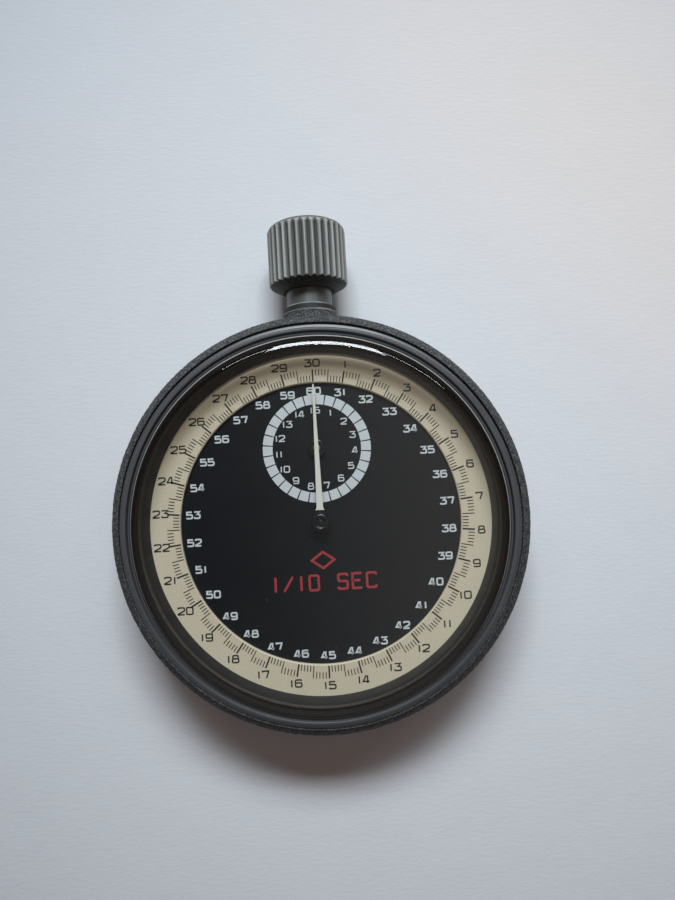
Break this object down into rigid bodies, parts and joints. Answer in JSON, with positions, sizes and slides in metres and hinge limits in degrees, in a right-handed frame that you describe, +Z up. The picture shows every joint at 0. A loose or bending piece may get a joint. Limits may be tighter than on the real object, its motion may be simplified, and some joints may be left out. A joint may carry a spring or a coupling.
{
  "type": "mechanical stopwatch",
  "caption": "Hand-held mechanical stopwatch with a black round case, a fluted crown that winds and presses, a sweep hand and a small minute recorder.",
  "frame": {"origin": "centre of the back's flat face, on the dial axis", "axes": "+Z up through the crystal, +Y towards the crown, +X to the right of the dial"},
  "size_m": [0.0532, 0.0657, 0.0139],
  "materials": {
    "black_case": "black crackle paint",
    "black_bezel": "satin black",
    "crystal": "clear",
    "seal": "matte",
    "dial_black": "satin black",
    "dial_cream": "matte cream",
    "crown_grey": "matte",
    "steel": "fine ground",
    "blued_steel": "blued",
    "brass": "gilt",
    "nickel": "nickel plated",
    "ruby": "polished"
  },
  "bodies": {
    "case": {"case_body": "black_case", "bezel": "black_bezel", "crystal": "crystal", "crystal_gasket": "seal", "reflector_ring": "black_bezel", "dial": "dial_black", "chapter_ring": "dial_cream", "case_back": "black_bezel", "back_gasket": "seal", "pendant_tube": "crown_grey", "movement_ring": "nickel", "dog_screws": "blued_steel", "main_plate": "brass", "barrel_bridge": "nickel", "train_bridge": "nickel", "balance_cock": "nickel", "pallet_bridge": "nickel", "recorder_bridge": "nickel", "bridge_screws": "blued_steel", "jewels": "ruby", "click_spring": "steel", "regulator": "steel", "hammer_spring": "blued_steel", "lever_screws": "blued_steel", "crown_wheel_screw": "blued_steel"},
    "push_piece": {"stem_sleeve": "steel", "return_spring": "steel"},
    "crown_stem": {"crown": "crown_grey", "stem": "steel"},
    "pinion": {"winding_pinion": "steel"},
    "crown_gear": {"crown_wheel": "steel"},
    "ratchet": {"barrel_arbor": "steel", "ratchet_wheel": "steel", "ratchet_screw": "blued_steel"},
    "click_pawl": {"click": "steel"},
    "barrel": {"barrel_drum": "brass", "barrel_cover": "brass", "mainspring": "blued_steel"},
    "centre": {"centre_wheel": "brass"},
    "third": {"third_wheel": "brass"},
    "seconds": {"fourth_wheel": "brass", "seconds_arbor": "steel", "seconds_heart": "steel", "seconds_hand": "dial_cream"},
    "escape": {"escape_wheel": "brass"},
    "pallets": {"pallet_fork": "steel", "pallet_stones": "ruby"},
    "balance": {"balance_wheel": "brass", "balance_staff": "steel", "hairspring": "blued_steel"},
    "intermediate": {"intermediate_wheel": "brass"},
    "recorder": {"minute_wheel": "brass", "minute_heart": "steel", "minute_hand": "dial_black"},
    "columns": {"column_wheel": "steel"},
    "jumper": {"column_jumper": "steel"},
    "lever": {"operating_lever": "steel"},
    "hammer": {"reset_hammer": "steel"},
    "brake": {"brake_lever": "steel"}
  },
  "joints": [
    {"name": "crown_press", "type": "slide", "parent": "case", "child": "push_piece", "axis": [0, -1, 0], "range_m": [0, 0.0016], "stiffness_N_per_m": 1500, "springref_m": -0.001, "deforming": ["return_spring"]},
    {"name": "crown_turn", "type": "hinge", "parent": "push_piece", "child": "crown_stem", "pos_m": [0, 0.03, 0.0053], "axis": [0, 1, 0], "continuous": true},
    {"name": "winding_pinion_turn", "type": "hinge", "parent": "case", "child": "pinion", "pos_m": [0, 0.01438, 0.0053], "axis": [0, 1, 0], "continuous": true},
    {"name": "crown_wheel_turn", "type": "hinge", "parent": "case", "child": "crown_gear", "pos_m": [0, 0.01078, 0.0027], "axis": [0, 0, 1], "continuous": true},
    {"name": "ratchet_turn", "type": "hinge", "parent": "case", "child": "ratchet", "pos_m": [0.0089, 0.0054, 0.0022], "axis": [0, 0, 1], "continuous": true},
    {"name": "click_swing", "type": "hinge", "parent": "case", "child": "click_pawl", "pos_m": [0.0062, 0.015, 0.0022], "axis": [0, 0, 1], "range_deg": [0, 6], "deforming": ["click_spring"]},
    {"name": "seconds_turn", "type": "hinge", "parent": "case", "child": "seconds", "pos_m": [0, 0, 0.0041], "axis": [0, 0, -1], "continuous": true},
    {"name": "barrel_turn", "type": "hinge", "parent": "case", "child": "barrel", "pos_m": [0.0089, 0.0054, 0.0051], "axis": [0, 0, -1], "continuous": true},
    {"name": "centre_turn", "type": "hinge", "parent": "case", "child": "centre", "pos_m": [0.0068, -0.0029, 0.0037], "axis": [0, 0, -1], "continuous": true},
    {"name": "third_turn", "type": "hinge", "parent": "case", "child": "third", "pos_m": [0.00151, -0.00398, 0.0051], "axis": [0, 0, -1], "continuous": true},
    {"name": "escape_turn", "type": "hinge", "parent": "case", "child": "escape", "pos_m": [-0.00351, -0.00183, 0.0046], "axis": [0, 0, -1], "continuous": true},
    {"name": "intermediate_turn", "type": "hinge", "parent": "case", "child": "intermediate", "pos_m": [0.00141, 0.00396, 0.0083], "axis": [0, 0, -1], "continuous": true},
    {"name": "recorder_turn", "type": "hinge", "parent": "case", "child": "recorder", "pos_m": [0, 0.00917, 0.0076], "axis": [0, 0, -1], "continuous": true},
    {"name": "pallet_swing", "type": "hinge", "parent": "case", "child": "pallets", "pos_m": [-0.00574, -0.00397, 0.0046], "axis": [0, 0, 1], "range_deg": [-5, 5]},
    {"name": "balance_swing", "type": "hinge", "parent": "case", "child": "balance", "pos_m": [-0.00833, -0.00646, 0.003], "axis": [0, 0, 1], "range_deg": [-200, 200], "deforming": ["hairspring"]},
    {"name": "column_turn", "type": "hinge", "parent": "case", "child": "columns", "pos_m": [-0.0094, -0.0116, 0.0076], "axis": [0, 0, 1], "continuous": true},
    {"name": "jumper_swing", "type": "hinge", "parent": "case", "child": "jumper", "pos_m": [-0.0028, -0.0146, 0.0076], "axis": [0, 0, 1], "range_deg": [0, 4]},
    {"name": "lever_swing", "type": "hinge", "parent": "case", "child": "lever", "pos_m": [-0.0142, 0.0036, 0.0076], "axis": [0, 0, 1], "range_deg": [-7, 0]},
    {"name": "hammer_swing", "type": "hinge", "parent": "case", "child": "hammer", "pos_m": [-0.0036, -0.0066, 0.008], "axis": [0, 0, 1], "range_deg": [0, 6], "deforming": ["hammer_spring"]},
    {"name": "brake_swing", "type": "hinge", "parent": "case", "child": "brake", "pos_m": [-0.0154, -0.0012, 0.0084], "axis": [0, 0, 1], "range_deg": [0, 3.5]}
  ],
  "couplings": [
    {"joint": "winding_pinion_turn", "follows": "crown_turn", "ratio": 1},
    {"joint": "crown_wheel_turn", "follows": "crown_turn", "ratio": 0.5},
    {"joint": "ratchet_turn", "follows": "crown_turn", "ratio": -0.3},
    {"joint": "barrel_turn", "follows": "seconds_turn", "ratio": -0.0020833},
    {"joint": "centre_turn", "follows": "seconds_turn", "ratio": 0.016667},
    {"joint": "third_turn", "follows": "seconds_turn", "ratio": -0.13333},
    {"joint": "escape_turn", "follows": "seconds_turn", "ratio": -10},
    {"joint": "intermediate_turn", "follows": "seconds_turn", "ratio": -0.16667},
    {"joint": "recorder_turn", "follows": "seconds_turn", "ratio": 0.033333},
    {"joint": "lever_swing", "follows": "crown_press", "rad_per_m": -75}
  ]
}
